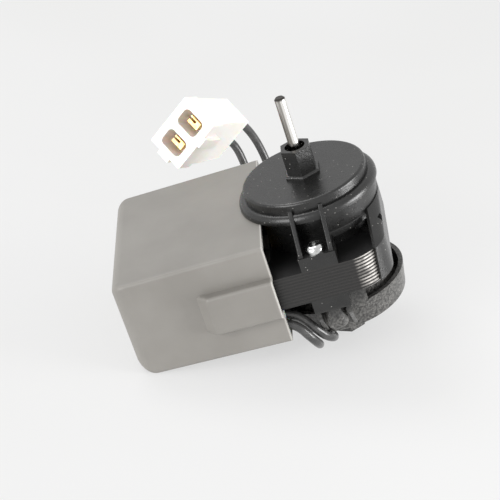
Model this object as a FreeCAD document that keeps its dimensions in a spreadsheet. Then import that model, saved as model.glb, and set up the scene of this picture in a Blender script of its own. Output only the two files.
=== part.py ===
import FreeCAD, Part
import Sketcher
import os
from math import cos, pi, radians, sin, sqrt, tan

# Evaporator fan motor: a small shaded pole motor with a skeleton frame.
# The origin is the centre of the front bell's outer face, on the shaft axis. +Z is the shaft's
# output end, +X points from the coil to the rotor, and Y runs across the lamination stack.

doc = FreeCAD.newDocument("evaporator_fan_motor")
dims = doc.addObject("Spreadsheet::Sheet", "dims")

SIZES = [
    # lamination stack and the iron bar through the coil
    ("stack_width", 55.2),
    ("stack_thickness", 10.0),
    ("stack_nose", 17.4),
    ("nose_radius", 10.0),
    ("arm_width", 9.3),
    ("arm_setback", 0.5),
    ("arm_step", 3.2),
    ("window_edge", 15.0),
    ("bore_notch_width", 2.2),
    ("nose_notch_depth", 2.2),
    ("coil_space", 1.04),
    ("bar_width", 11.0),
    ("key_depth", 3.4),
    ("key_width", 4.6),
    ("key_flare", 0.8),
    # coil
    ("bobbin_clearance", 0.15),
    ("bobbin_wall", 1.0),
    ("flange_wall", 1.2),
    ("flange_long", 26.2),
    ("coil_room", 0.8),
    ("flange_gap", 0.6),
    ("winding_inset", 1.3),
    ("winding_radius", 3.0),
    ("wrap_wall", 0.35),
    ("shelf_gap", 0.3),
    ("shelf_wall", 0.9),
    ("shelf_width", 6.0),
    ("upper_inset", 5.7),
    ("upper_drop", 3.9),
    ("lower_inset", 3.1),
    ("lower_drop", 5.3),
    ("terminal_root", 34.0),
    ("terminal_length", 3.0),
    ("terminal_radius", 1.2),
    ("bracket_length", 3.4),
    ("bracket_height", 7.6),
    ("guide_inset", 2.0),
    ("guide_setback", 0.1),
    ("guide_wall", 0.8),
    ("guide_height", 8.9),
    ("guide_slack", 0.7),
    ("guide_sag", 0.8),
    ("eyelet_radius", 0.45),
    ("eyelet_drop", 7.9),
    # coil cover
    ("cover_gap", 14.64),
    ("cover_length", 44.9),
    ("cover_over", 0.1),
    ("cover_height", 31.7),
    ("cover_taper", 1.3),
    ("cover_wall", 1.4),
    ("cover_top_radius", 3.0),
    ("cover_foot_radius", 5.2),
    ("cover_side_radius", 4.0),
    ("cover_edge_radius", 1.0),
    ("pad_length", 22.5),
    ("pad_height", 12.4),
    ("pad_rise", 3.0),
    ("pad_slope", 3.4),
    ("pad_radius", 1.0),
    ("pad_wall", 1.0),
    # end bells
    ("bell_depth", 16.5),
    ("rim_radius", 20.4),
    ("disc_step", 2.2),
    ("disc_wall", 1.9),
    ("disc_edge", 0.8),
    ("disc_side", 3.0),
    ("shoulder_radius", 1.9),
    ("shoulder_wall", 0.7),
    ("ring_clearance", 0.2),
    ("bell_wall", 1.4),
    ("seat_step", 3.2),
    ("seat_flat", 14.2),
    ("skirt_step", 0.7),
    ("skirt_taper", 0.6),
    ("skirt_drop", 12.9),
    ("skirt_angle", 79.0),
    ("lip_height", 1.6),
    ("lip_step", 0.2),
    ("base_step", 1.0),
    ("base_wall", 0.8),
    ("base_inset", 0.4),
    ("tongue_wall", 1.0),
    ("tongue_length", 9.6),
    ("tongue_foot_angle", 50.0),
    ("tongue_waist_angle", 44.0),
    ("tongue_top_angle", 37.0),
    ("tongue_overlap", 2.4),
    ("tongue_window_width", 2.2),
    ("tongue_window_inset", 12.0),
    ("tongue_clearance", 0.1),
    ("collar_rise", 7.5),
    ("rear_step", 1.1),
    ("rear_edge", 0.6),
    ("gate_angle", 65.0),
    ("gate_outer_angle", 79.0),
    ("gate_lap", 0.5),
    ("gate_gap", 0.2),
    # screw ears
    ("ear_width", 10.6),
    ("ear_height", 4.2),
    ("ear_offset", 0.9),
    ("ear_inner", 14.0),
    ("gusset_wall", 1.3),
    ("gusset_inset", 0.3),
    ("gusset_edge", 0.35),
    ("gusset_foot", 1.0),
    ("gusset_top", 1.9),
    ("rear_gusset_foot", 2.1),
    ("rear_gusset_inset", 0.4),
    ("screw_inset", 3.2),
    ("screw_post_radius", 3.1),
    ("screw_post_length", 6.9),
    ("screw_post_edge", 1.2),
    ("screw_radius", 1.4),
    ("screw_clearance", 0.35),
    ("screw_head_radius", 2.9),
    ("screw_head_height", 2.1),
    ("screw_head_dome", 1.4),
    ("screw_cross_depth", 1.2),
    ("screw_cross_width", 0.8),
    ("screw_cross_length", 3.2),
    ("screw_tip_margin", 1.6),
    # mounting bosses
    ("hex_radius", 4.75),
    ("hex_height", 8.7),
    ("rear_hex_height", 10.1),
    ("hex_bore", 3.0),
    ("hex_bore_depth", 6.6),
    ("hex_foot_radius", 5.7),
    ("hex_foot_height", 1.2),
    # shaft, bearings and rotor
    ("shaft_radius", 1.5875),
    ("shaft_reach", 24.5),
    ("shaft_tail", 2.6),
    ("shaft_chamfer", 0.45),
    ("shaft_hole", 1.95),
    ("slinger_drop", 1.5),
    ("slinger_width", 0.6),
    ("slinger_depth", 0.2),
    ("bearing_clearance", 0.02),
    ("bearing_radius", 4.4),
    ("bearing_end_radius", 3.3),
    ("bearing_length", 6.0),
    ("hub_bore", 5.8),
    ("hub_wall", 1.4),
    ("hub_drop", 9.2),
    ("felt_radius", 4.55),
    ("felt_height", 4.4),
    ("retainer_wall", 0.4),
    ("retainer_bore", 3.0),
    ("washer_radius", 2.8),
    ("washer_wall", 0.5),
    ("end_play", 0.05),
    ("spacer_radius", 2.6),
    ("rotor_radius", 12.5),
    ("air_gap", 0.35),
    ("rotor_length", 10.4),
    ("cage_ring_step", 0.6),
    ("cage_ring_bore", 6.2),
    ("cage_ring_length", 2.6),
    ("cage_bar_radius", 0.9),
    ("cage_bar_step", 1.7),
    ("cage_bars", 16),
    ("shading_wire", 1.6),
    ("shading_step", 1.75),
    ("shading_near_angle", 40.0),
    ("shading_far_angle", 66.0),
    # leads and plug
    ("lead_radius", 1.3),
    ("plug_width", 18.3),
    ("plug_height", 13.1),
    ("plug_collar_length", 6.4),
    ("plug_body_step", 0.7),
    ("plug_length", 26.7),
    ("plug_rear_width", 15.8),
    ("plug_rear_height", 10.5),
    ("plug_edge", 0.6),
    ("pocket_width", 5.8),
    ("pocket_height", 8.0),
    ("pocket_depth", 7.5),
    ("pocket_radius", 1.6),
    ("latch_width", 3.8),
    ("latch_rise", 1.5),
    ("latch_length", 8.4),
    ("latch_offset", 2.4),
    ("latch_ramp", 3.0),
    ("rib_rise", 1.3),
    ("rib_height", 4.6),
    ("rib_length", 5.6),
    ("contact_pitch", 8.3),
    ("contact_width", 4.2),
    ("contact_height", 2.4),
    ("contact_wall", 0.45),
    ("contact_blade", 1.1),
    ("contact_fork", 2.6),
    ("contact_seat", 1.0),
    ("contact_recess", 2.6),
    ("lead_seat", 6.0),
    ("lead_slack", 0.1),
]

for number, (word, value) in enumerate(SIZES, start=1):
    dims.set(f"A{number}", word.replace("_", " "))
    dims.set(f"B{number}", str(value))
    dims.setAlias(f"B{number}", word)
doc.recompute()


def size(word):
    """A driving size, read back from the sheet."""
    return float(dims.get(word))


# Levels along the shaft, and places that several pieces share, as expressions on the sheet.
STACK_TOP = "-dims.bell_depth"
STACK_FOOT = "(-dims.bell_depth - dims.stack_thickness)"
STACK_MIDDLE = "(-dims.bell_depth - dims.stack_thickness / 2)"
REAR_FACE = "(-2 * dims.bell_depth - dims.stack_thickness)"
HALF_STACK = "dims.stack_width / 2"
ARM_INSIDE = "(dims.stack_width / 2 - dims.arm_width)"
BORE_RADIUS = "(dims.rotor_radius + dims.air_gap)"
COIL_MIDDLE = ("(-dims.cover_gap - dims.cover_length + dims.cover_wall + dims.coil_space"
               " + dims.flange_long / 2)")
BAR_REAR = f"({COIL_MIDDLE} - dims.bar_width / 2)"
BAR_FRONT = f"({COIL_MIDDLE} + dims.bar_width / 2)"
COVER_OPEN = "(-dims.cover_gap)"
COVER_CLOSED = "(-dims.cover_gap - dims.cover_length)"
COVER_WIDTH = "(dims.stack_width + dims.cover_over)"
END_WIDTH = f"({COVER_WIDTH} - dims.cover_taper)"
END_HEIGHT = "(dims.cover_height - dims.cover_taper)"
FLANGE_HIGH = f"({END_HEIGHT} - 2 * dims.cover_wall - 2 * dims.coil_room)"
DISC_RADIUS = "(dims.rim_radius - dims.disc_step)"
SEAT_RADIUS = "(dims.rim_radius - dims.seat_step)"
SKIRT_TOP = "(dims.rim_radius - dims.skirt_step)"
SHOULDER_LOW = "(dims.disc_side + dims.shoulder_wall)"
SKIRT_FOOT = "(dims.rim_radius - dims.skirt_step - dims.skirt_taper)"
BASE_RADIUS = "(dims.rim_radius + dims.base_step)"
REAR_DISC = "(dims.rim_radius - dims.rear_step)"
RING_DROP = ("(dims.bell_depth + dims.stack_thickness / 2 - dims.cover_height / 2"
             " - dims.ring_clearance)")
SCREW_LINE = "(dims.stack_width / 2 - dims.screw_inset)"
UPPER_LINE = "(dims.stack_width / 2 - dims.upper_inset)"
LOWER_LINE = "(dims.stack_width / 2 - dims.lower_inset)"
GUIDE_REACH = "(dims.stack_width / 2 - dims.guide_inset)"
SHADING_CIRCLE = "(dims.rotor_radius + dims.air_gap + dims.shading_step)"
CAGE_RADIUS = "(dims.rotor_radius - dims.cage_ring_step)"
BAR_CIRCLE = "(dims.rotor_radius - dims.cage_bar_step)"

TURNS = {
    "XY": FreeCAD.Rotation(),
    "XZ": FreeCAD.Rotation(FreeCAD.Vector(1, 0, 0), 90),
    "YZ": FreeCAD.Rotation(FreeCAD.Vector(1, 1, 1), 120),
}
UP = FreeCAD.Vector(0, 0, 1)
ORIGIN = FreeCAD.Vector(0, 0, 0)
START_CIRCLE = 40.0
OVERRUN = 1.0
LAP = 0.4


def bind(thing, **formulas):
    """Ties properties to the sheet. A double underscore in a key stands for the dot of a path."""
    for key, formula in formulas.items():
        thing.setExpression(key.replace("__", "."), str(formula))
    return thing


def place(thing, x="0", y="0", z="0"):
    """Ties an object's position to the sheet."""
    return bind(thing, Placement__Base__x=x, Placement__Base__y=y, Placement__Base__z=z)


def cylinder(name, radius, height, x="0", y="0", z="0"):
    thing = doc.addObject("Part::Cylinder", name)
    return place(bind(thing, Radius=radius, Height=height), x, y, z)


def block(name, length, width, height, x, y, z):
    """A box from its lowest corner."""
    thing = doc.addObject("Part::Box", name)
    return place(bind(thing, Length=length, Width=width, Height=height), x, y, z)


def outline(name, plane, corners, level="0"):
    """A closed straight-sided sketch whose every corner is tied to the sheet. level shifts it
    along the axis that the plane leaves out."""
    drawing = doc.addObject("Sketcher::SketchObject", name)
    drawing.Placement = FreeCAD.Placement(ORIGIN, TURNS[plane])
    axis = {"XY": "z", "XZ": "y", "YZ": "x"}[plane]
    drawing.setExpression(f"Placement.Base.{axis}", level)
    count = len(corners)
    spots = []
    for step in range(count):
        angle = radians(360 * step / count)
        spots.append(FreeCAD.Vector(START_CIRCLE * cos(angle), START_CIRCLE * sin(angle), 0))
    for step in range(count):
        drawing.addGeometry(Part.LineSegment(spots[step], spots[(step + 1) % count]))
    for step in range(count):
        drawing.addConstraint(Sketcher.Constraint("Coincident", step, 2, (step + 1) % count, 1))
    for step, (across, along) in enumerate(corners):
        for kind, start, formula in (("DistanceX", spots[step].x, across), ("DistanceY", spots[step].y, along)):
            place_of = drawing.addConstraint(Sketcher.Constraint(kind, -1, 1, step, 1, start))
            drawing.setExpression(f"Constraints[{place_of}]", str(formula))
    return drawing


def extrude(name, drawing, direction, length, symmetric=False):
    """A solid swept from a sketch along a straight direction."""
    thing = doc.addObject("Part::Extrusion", name)
    thing.Base = drawing
    thing.DirMode = "Custom"
    thing.Dir = FreeCAD.Vector(*direction)
    thing.Solid = True
    thing.Symmetric = symmetric
    return bind(thing, LengthFwd=length)


def revolve(name, drawing):
    """A solid of revolution about the shaft axis."""
    thing = doc.addObject("Part::Revolution", name)
    thing.Source = drawing
    thing.Axis = UP
    thing.Base = ORIGIN
    thing.Angle = 360
    thing.Solid = True
    return thing


def cut(name, base, *tools):
    """The base less one tool, or less the fused tools."""
    thing = doc.addObject("Part::Cut", name)
    thing.Base = base
    thing.Tool = tools[0] if len(tools) == 1 else fuse(name + "_tools", *tools)
    return thing


def fuse(name, *shapes):
    thing = doc.addObject("Part::MultiFuse", name)
    thing.Shapes = list(shapes)
    thing.Refine = True
    return thing


def common(name, *shapes):
    thing = doc.addObject("Part::MultiCommon", name)
    thing.Shapes = list(shapes)
    return thing


def mirror(name, source, normal, base=ORIGIN):
    """The mirror image of a solid in a plane."""
    thing = doc.addObject("Part::Mirroring", name)
    thing.Source = source
    thing.Normal = FreeCAD.Vector(*normal)
    thing.Base = base
    return thing


def group(name, *shapes):
    """Separate solids under one name."""
    thing = doc.addObject("Part::Compound", name)
    thing.Links = list(shapes)
    return thing


def round_edges(name, base, rules):
    """Rounds edges of the base. rules holds pairs of a test on an edge and the sheet's word for
    its radius, and the first test that an edge passes gives its radius."""
    doc.recompute()
    chosen = []
    for number, edge in enumerate(base.Shape.Edges, start=1):
        for test, word in rules:
            if test(edge):
                chosen.append((number, size(word), size(word)))
                break
    if not chosen:
        raise ValueError("no edge to round on " + name)
    thing = doc.addObject("Part::Fillet", name)
    thing.Base = base
    thing.Edges = chosen
    return thing


def near(value, wanted, slack=0.05):
    return abs(value - wanted) < slack


def runs_along(edge, axis):
    """Whether a straight edge runs mostly along one axis."""
    first = edge.Vertexes[0].Point
    last = edge.Vertexes[-1].Point
    way = last.sub(first)
    parts = {"x": abs(way.x), "y": abs(way.y), "z": abs(way.z)}
    return way.Length > 0.01 and parts[axis] > 0.9 * way.Length


nodes = {}


def keep(thing, label):
    """Names a finished sub-part for export."""
    thing.Label = label
    nodes[label] = thing
    return thing


# Stator: an open frame of stamped steel, closed behind by the bar that carries the coil.
def make_bar():
    neck = "dims.key_width / 2"
    tip = "(dims.key_width / 2 + dims.key_flare)"
    reach = f"({ARM_INSIDE} + dims.key_depth)"
    corners = [
        (BAR_FRONT, f"-{ARM_INSIDE}"),
        (BAR_FRONT, ARM_INSIDE),
        (f"{COIL_MIDDLE} + {neck}", ARM_INSIDE),
        (f"{COIL_MIDDLE} + {tip}", reach),
        (f"{COIL_MIDDLE} - {tip}", reach),
        (f"{COIL_MIDDLE} - {neck}", ARM_INSIDE),
        (BAR_REAR, ARM_INSIDE),
        (BAR_REAR, f"-{ARM_INSIDE}"),
        (f"{COIL_MIDDLE} - {neck}", f"-{ARM_INSIDE}"),
        (f"{COIL_MIDDLE} - {tip}", f"-{reach}"),
        (f"{COIL_MIDDLE} + {tip}", f"-{reach}"),
        (f"{COIL_MIDDLE} + {neck}", f"-{ARM_INSIDE}"),
    ]
    drawing = outline("bar_outline", "XY", corners, STACK_FOOT)
    return extrude("bar_solid", drawing, (0, 0, 1), "dims.stack_thickness")


def make_stack(bar):
    narrow = f"({HALF_STACK} - dims.arm_step)"
    shoulder = f"({COVER_OPEN} - dims.pad_length + dims.pad_slope + dims.arm_setback)"
    taper = f"({shoulder} - dims.arm_step)"
    rear = f"({BAR_REAR})"
    corners = [
        ("dims.stack_nose", f"-{HALF_STACK}"),
        ("dims.stack_nose", HALF_STACK),
        (shoulder, HALF_STACK),
        (taper, narrow),
        (rear, narrow),
        (rear, ARM_INSIDE),
        ("-dims.window_edge", ARM_INSIDE),
        ("-dims.window_edge", f"-{ARM_INSIDE}"),
        (rear, f"-{ARM_INSIDE}"),
        (rear, f"-{narrow}"),
        (taper, f"-{narrow}"),
        (shoulder, f"-{HALF_STACK}"),
    ]
    drawing = outline("stack_outline", "XY", corners, STACK_FOOT)
    plate = extrude("stack_plate", drawing, (0, 0, 1), "dims.stack_thickness")
    nose = size("stack_nose")
    side = size("stack_width") / 2
    inside = side - size("arm_width")
    rounded = round_edges("stack_rounded", plate, [
        (lambda edge: runs_along(edge, "z") and near(edge.CenterOfMass.x, nose), "nose_radius"),
        (lambda edge: runs_along(edge, "z") and near(edge.CenterOfMass.x, -size("window_edge"))
            and near(abs(edge.CenterOfMass.y), inside), "arm_step"),
    ])
    tall = "dims.stack_thickness + 2"
    low = f"{STACK_FOOT} - 1"
    holes = [cylinder("rotor_bore", BORE_RADIUS, tall, z=low)]
    holes.append(block("nose_notch", f"{BORE_RADIUS} + dims.nose_notch_depth", "dims.bore_notch_width", tall,
                       "0", "-dims.bore_notch_width / 2", low))
    for sign, word in ((1, "far"), (-1, "near")):
        holes.append(cylinder(f"screw_hole_{word}", "dims.screw_radius + dims.screw_clearance", tall,
                              "-dims.ear_offset", f"{sign} * {SCREW_LINE}", low))
        for turn in ("near", "far"):
            angle = f"dims.shading_{turn}_angle"
            holes.append(cylinder(f"shading_hole_{word}_{turn}", "dims.shading_wire / 2 + 0.05", tall,
                                  f"{SHADING_CIRCLE} * cos({angle} * 1 deg) * {sign}",
                                  f"{SHADING_CIRCLE} * sin({angle} * 1 deg) * {sign}", low))
    return cut("stack_solid", rounded, bar, *holes)


def make_shading_rings():
    """One copper loop in each pole, laid through two holes and across both faces of the stack."""
    rings = []
    wire = "dims.shading_wire"
    for sign, word in ((1, "upper"), (-1, "lower")):
        legs = []
        spots = []
        for turn in ("near", "far"):
            angle = radians(size(f"shading_{turn}_angle"))
            spots.append((cos(angle), sin(angle)))
            formula = f"dims.shading_{turn}_angle * 1 deg"
            legs.append(cylinder(f"ring_leg_{word}_{turn}", f"{wire} / 2",
                                 f"dims.stack_thickness + 2 * {wire}",
                                 f"{SHADING_CIRCLE} * cos({formula}) * {sign}",
                                 f"{SHADING_CIRCLE} * sin({formula}) * {sign}",
                                 f"{STACK_FOOT} - {wire}"))
        middle = "(dims.shading_near_angle + dims.shading_far_angle) / 2"
        spread = "(dims.shading_far_angle - dims.shading_near_angle) / 2"
        for side, level in (("top", STACK_TOP), ("foot", f"{STACK_FOOT} - {wire}")):
            bar = doc.addObject("Part::Box", f"ring_bar_{word}_{side}")
            bind(bar, Length=f"2 * {SHADING_CIRCLE} * sin({spread} * 1 deg)", Width=wire, Height=wire)
            turn_up = 90 + (size("shading_near_angle") + size("shading_far_angle")) / 2
            turn_up += 0 if sign > 0 else 180
            bar.Placement = FreeCAD.Placement(ORIGIN, FreeCAD.Rotation(UP, turn_up))
            near_x = f"{SHADING_CIRCLE} * cos(dims.shading_near_angle * 1 deg) * {sign}"
            near_y = f"{SHADING_CIRCLE} * sin(dims.shading_near_angle * 1 deg) * {sign}"
            half = f"{wire} / 2"
            place(bar, f"{near_x} + {half} * cos({middle} * 1 deg) * {sign}",
                  f"{near_y} + {half} * sin({middle} * 1 deg) * {sign}", level)
            legs.append(bar)
        rings.append(fuse(f"shading_ring_{word}", *legs))
    return group("shading_pair", *rings)


# Coil: a nylon bobbin on the bar, wound with enamelled wire and wrapped in tape.
def centred_block(name, length, width, height, x, y="0", z=STACK_MIDDLE):
    """A box about a middle point."""
    return block(name, length, width, height, f"({x}) - ({length}) / 2", f"({y}) - ({width}) / 2",
                 f"({z}) - ({height}) / 2")


def along_x(name, radius, length, x, line, drop):
    """A cylinder along X, on the near side, a drop below the stack."""
    thing = cylinder(name, radius, length, x, f"-({line})", f"{STACK_FOOT} - ({drop})")
    thing.Placement.Rotation = FreeCAD.Rotation(FreeCAD.Vector(0, 1, 0), 90)
    return thing


FLANGE_OUTSIDE = f"({ARM_INSIDE} - dims.flange_gap)"
CORE_LONG = "(dims.bar_width + 2 * dims.bobbin_clearance)"
CORE_HIGH = "(dims.stack_thickness + 2 * dims.bobbin_clearance)"
TUBE_LONG = f"({CORE_LONG} + 2 * dims.bobbin_wall)"
TUBE_HIGH = f"({CORE_HIGH} + 2 * dims.bobbin_wall)"
WINDING_LONG = "(dims.flange_long - 2 * dims.winding_inset)"
WINDING_HIGH = f"({FLANGE_HIGH} - 2 * dims.winding_inset)"
WINDING_WIDE = f"(2 * {FLANGE_OUTSIDE} - 2 * dims.flange_wall)"


def make_bobbin():
    middle = COIL_MIDDLE
    tube = centred_block("bobbin_tube", TUBE_LONG, f"2 * {FLANGE_OUTSIDE}", TUBE_HIGH, middle)
    flanges = []
    for sign, word in ((1, "far"), (-1, "near")):
        flanges.append(centred_block(f"bobbin_flange_{word}", "dims.flange_long", "dims.flange_wall",
                                     FLANGE_HIGH, middle,
                                     f"{sign} * ({FLANGE_OUTSIDE} - dims.flange_wall / 2)"))
    # A bracket on the near flange holds the terminals, and a shelf under the stack's arm ends in
    # an upright guide at the mouth of the cover, with the leads through it.
    shelf_top = f"({STACK_FOOT} - dims.shelf_gap)"
    shelf_low = f"{shelf_top} - dims.shelf_wall"
    bracket_rear = "(-dims.terminal_root - dims.bracket_length)"
    bracket = block("terminal_bracket", "dims.bracket_length", f"{GUIDE_REACH} - {FLANGE_OUTSIDE} + dims.flange_wall",
                    "dims.bracket_height", bracket_rear, f"-{GUIDE_REACH}", f"{shelf_top} - dims.bracket_height")
    shelf = block("guide_shelf", f"-dims.cover_gap - dims.guide_setback - {bracket_rear}", "dims.shelf_width",
                  "dims.shelf_wall", bracket_rear, f"-{GUIDE_REACH}", shelf_low)
    guide = block("lead_guide", "dims.guide_wall", "dims.shelf_width", "dims.guide_height",
                  "-dims.cover_gap - dims.guide_setback - dims.guide_wall", f"-{GUIDE_REACH}",
                  f"{shelf_top} - dims.guide_height")
    holes = []
    for word, radius, line, drop in (
        ("upper", "(dims.lead_radius + dims.guide_slack)", UPPER_LINE, "dims.upper_drop + dims.guide_sag"),
        ("lower", "(dims.lead_radius + dims.guide_slack)", LOWER_LINE, "dims.lower_drop + dims.guide_sag"),
        ("eyelet", "dims.eyelet_radius", UPPER_LINE, "dims.eyelet_drop"),
    ):
        holes.append(along_x(f"guide_hole_{word}", radius, "dims.guide_wall + 2",
                             "-dims.cover_gap - dims.guide_setback - dims.guide_wall - 1", line, drop))
    solid = fuse("bobbin_body", tube, *flanges, bracket, shelf, guide)
    hollow = centred_block("bobbin_hollow", CORE_LONG, f"2 * {FLANGE_OUTSIDE} + 2", CORE_HIGH, middle)
    return cut("bobbin_solid", solid, hollow, *holes)


def make_terminals():
    """Two crimped terminals on the bobbin's bracket, where the winding meets the leads."""
    pair = []
    for word, line in (("upper", UPPER_LINE), ("lower", LOWER_LINE)):
        pair.append(along_x(f"terminal_{word}", "dims.terminal_radius", "dims.terminal_length",
                            "-dims.terminal_root", line, f"dims.{word}_drop"))
    return group("terminal_pair", *pair)


def make_winding(name, long_side, high_side, inner_long, inner_high, radius_word):
    """A rounded rectangular ring between the bobbin's flanges."""
    middle = COIL_MIDDLE
    outer = centred_block(name + "_outer", long_side, WINDING_WIDE, high_side, middle)
    rounded = round_edges(name + "_rounded", outer, [(lambda edge: runs_along(edge, "y"), radius_word)])
    inner = centred_block(name + "_inner", inner_long, f"{WINDING_WIDE} + 2", inner_high, middle)
    return rounded, inner


def make_coil():
    outer, inner = make_winding("winding", WINDING_LONG, WINDING_HIGH, TUBE_LONG, TUBE_HIGH, "winding_radius")
    winding = cut("winding_solid", outer, inner)
    wrap_long = f"({WINDING_LONG} + 2 * dims.wrap_wall)"
    wrap_high = f"({WINDING_HIGH} + 2 * dims.wrap_wall)"
    shell, _ = make_winding("wrap", wrap_long, wrap_high, WINDING_LONG, WINDING_HIGH, "winding_radius")
    wrap = cut("wrap_solid", shell, outer)
    return winding, wrap


# Cover: a moulded box over the coil, open towards the rotor, with a raised pocket on each side
# that clears the ends of the stack's arms.
def cover_block(name, inset, end_inset, front):
    """A tapering box: half sizes less inset, closed end moved in by end_inset."""
    ends = []
    for word, wide, high, level in (
        ("mouth", COVER_WIDTH, "dims.cover_height", front),
        ("end", END_WIDTH, END_HEIGHT, f"{COVER_CLOSED} + {end_inset}"),
    ):
        across = f"({wide} / 2 - {inset})"
        up = f"({high} / 2 - {inset})"
        ends.append(outline(f"{name}_{word}", "YZ", [
            (f"-{across}", f"{STACK_MIDDLE} - {up}"),
            (across, f"{STACK_MIDDLE} - {up}"),
            (across, f"{STACK_MIDDLE} + {up}"),
            (f"-{across}", f"{STACK_MIDDLE} + {up}"),
        ], level))
    thing = doc.addObject("Part::Loft", name)
    thing.Sections = ends
    thing.Solid = True
    thing.Ruled = True
    return thing


def pad_block(name, inset, front):
    """Both side pockets as one block through the cover."""
    face = f"({COVER_WIDTH} / 2 + dims.pad_rise - {inset})"
    root = f"({END_WIDTH} / 2 - {inset})"
    rear = f"({COVER_OPEN} - dims.pad_length + {inset})"
    slope = f"({COVER_OPEN} - dims.pad_length + dims.pad_slope + {inset})"
    drawing = outline(name + "_outline", "XY", [
        (front, f"-{face}"),
        (front, face),
        (slope, face),
        (rear, root),
        (rear, f"-{root}"),
        (slope, f"-{face}"),
    ], STACK_MIDDLE)
    return extrude(name, drawing, (0, 0, 1), f"dims.pad_height - 2 * {inset}", symmetric=True)


def make_cover():
    outer = cover_block("cover_outer", "0", "0", COVER_OPEN)
    closed = -size("cover_gap") - size("cover_length")
    level = -size("bell_depth") - size("stack_thickness") / 2
    rounded = round_edges("cover_rounded", outer, [
        (lambda edge: near(edge.CenterOfMass.x, closed) and runs_along(edge, "z"), "cover_side_radius"),
        (lambda edge: near(edge.CenterOfMass.x, closed) and edge.CenterOfMass.z > level, "cover_top_radius"),
        (lambda edge: near(edge.CenterOfMass.x, closed) and edge.CenterOfMass.z < level, "cover_foot_radius"),
        (lambda edge: runs_along(edge, "x"), "cover_edge_radius"),
    ])
    pads = pad_block("pad_outer", "0", COVER_OPEN)
    face = (size("stack_width") + size("cover_over")) / 2 + size("pad_rise")
    padded = round_edges("pad_rounded", pads, [
        (lambda edge: near(abs(edge.CenterOfMass.y), face), "pad_radius"),
        (lambda edge: not runs_along(edge, "y") and not runs_along(edge, "z")
            and edge.CenterOfMass.x < -size("cover_gap") - 1, "pad_radius"),
    ])
    wall = "dims.cover_wall"
    hollow = cover_block("cover_hollow", wall, wall, f"{COVER_OPEN} + {OVERRUN}")
    level_inside = round_edges("cover_hollow_rounded", hollow, [
        (lambda edge: edge.CenterOfMass.x < closed + size("cover_wall") + 0.1, "cover_wall"),
    ])
    pocket = pad_block("pad_hollow", "dims.pad_wall", f"{COVER_OPEN} + {OVERRUN}")
    return cut("cover_solid", fuse("cover_skin", rounded, padded), level_inside, pocket)


# End bells: two black mouldings that clamp the stack and hold the bearings.
def sector(name, half_angle, reach, low, high):
    """A wedge about the shaft that opens half_angle to each side of +X."""
    drawing = outline(name + "_outline", "XY", [
        ("0", "0"),
        (f"{reach} * cos({half_angle} * 1 deg)", f"-{reach} * sin({half_angle} * 1 deg)"),
        (reach, f"-{reach} * sin({half_angle} * 1 deg)"),
        (reach, f"{reach} * sin({half_angle} * 1 deg)"),
        (f"{reach} * cos({half_angle} * 1 deg)", f"{reach} * sin({half_angle} * 1 deg)"),
    ], low)
    return extrude(name, drawing, (0, 0, 1), f"({high}) - ({low})")


def hexagon(name, radius, low, height):
    """A hexagonal prism with a corner towards -Y."""
    corners = []
    for step in range(6):
        angle = 30 + 60 * step
        corners.append((f"{radius} * cos({angle} deg)", f"{radius} * sin({angle} deg)"))
    return extrude(name, outline(name + "_outline", "XY", corners, low), (0, 0, 1), height)


def make_hub(name):
    """The bearing's hub under the disc."""
    drawing = outline(name + "_profile", "XZ", [
        ("dims.hub_bore", "-dims.hub_drop"),
        ("dims.hub_bore + dims.hub_wall", "-dims.hub_drop"),
        ("dims.hub_bore + dims.hub_wall", "-dims.disc_wall / 2"),
        ("dims.hub_bore", "-dims.disc_wall / 2"),
    ])
    return revolve(name, drawing)


def make_boss(name, height_word):
    """A hexagonal mounting boss with a rounded foot, before its bore is cut."""
    prism = hexagon(name + "_hex", "dims.hex_radius", "-dims.disc_wall / 2",
                    f"dims.{height_word} + dims.disc_wall / 2")
    foot = hexagon(name + "_foot", "dims.hex_foot_radius", "-dims.disc_wall / 2",
                   "dims.hex_foot_height + dims.disc_wall / 2")
    top = size("hex_foot_height")
    soft = round_edges(name + "_foot_rounded", foot, [
        (lambda edge: near(edge.CenterOfMass.z, top), "disc_edge"),
    ])
    return fuse(name, prism, soft)


def make_ear(name, sign, gusset_points, front):
    """A screw ear on one side: a foot on the stack and two thin webs back to the bell. front is the
    list number of the web's corner where its sloping front edge starts."""
    low = STACK_TOP
    foot = block(name + "_foot", "dims.ear_width", f"{HALF_STACK} - dims.ear_inner", "dims.ear_height",
                 "-dims.ear_offset - dims.ear_width / 2",
                 f"-{HALF_STACK}" if sign < 0 else "dims.ear_inner", low)
    pieces = [foot]
    for side, word in ((-1, "left"), (1, "right")):
        x = (f"-dims.ear_offset + {side} * (dims.ear_width / 2 - dims.gusset_inset - dims.gusset_wall / 2)"
             " - dims.gusset_wall / 2")
        corners = [(f"{sign} * ({across})", up) for across, up in gusset_points]
        drawing = outline(f"{name}_{word}_outline", "YZ", corners, x)
        web = extrude(f"{name}_{word}", drawing, (1, 0, 0), "dims.gusset_wall")
        doc.recompute()
        start = drawing.Shape.Vertexes[front].Point
        end = drawing.Shape.Vertexes[front + 1].Point
        slope = end.sub(start)

        def on_front(edge, start=start, slope=slope):
            offset = edge.CenterOfMass.sub(start.add(slope * 0.5))
            return near(edge.Length, slope.Length) and near(offset.y, 0) and near(offset.z, 0)

        pieces.append(round_edges(f"{name}_{word}_rounded", web, [(on_front, "gusset_edge")]))
    return pieces


def bearing_room(name, ceiling):
    """The space inside a bell, up to the ceiling's level."""
    return cylinder(name, f"{SEAT_RADIUS} - dims.bell_wall", f"{ceiling} - {STACK_TOP} + {OVERRUN}",
                    z=f"{STACK_TOP} - {OVERRUN}")


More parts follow.
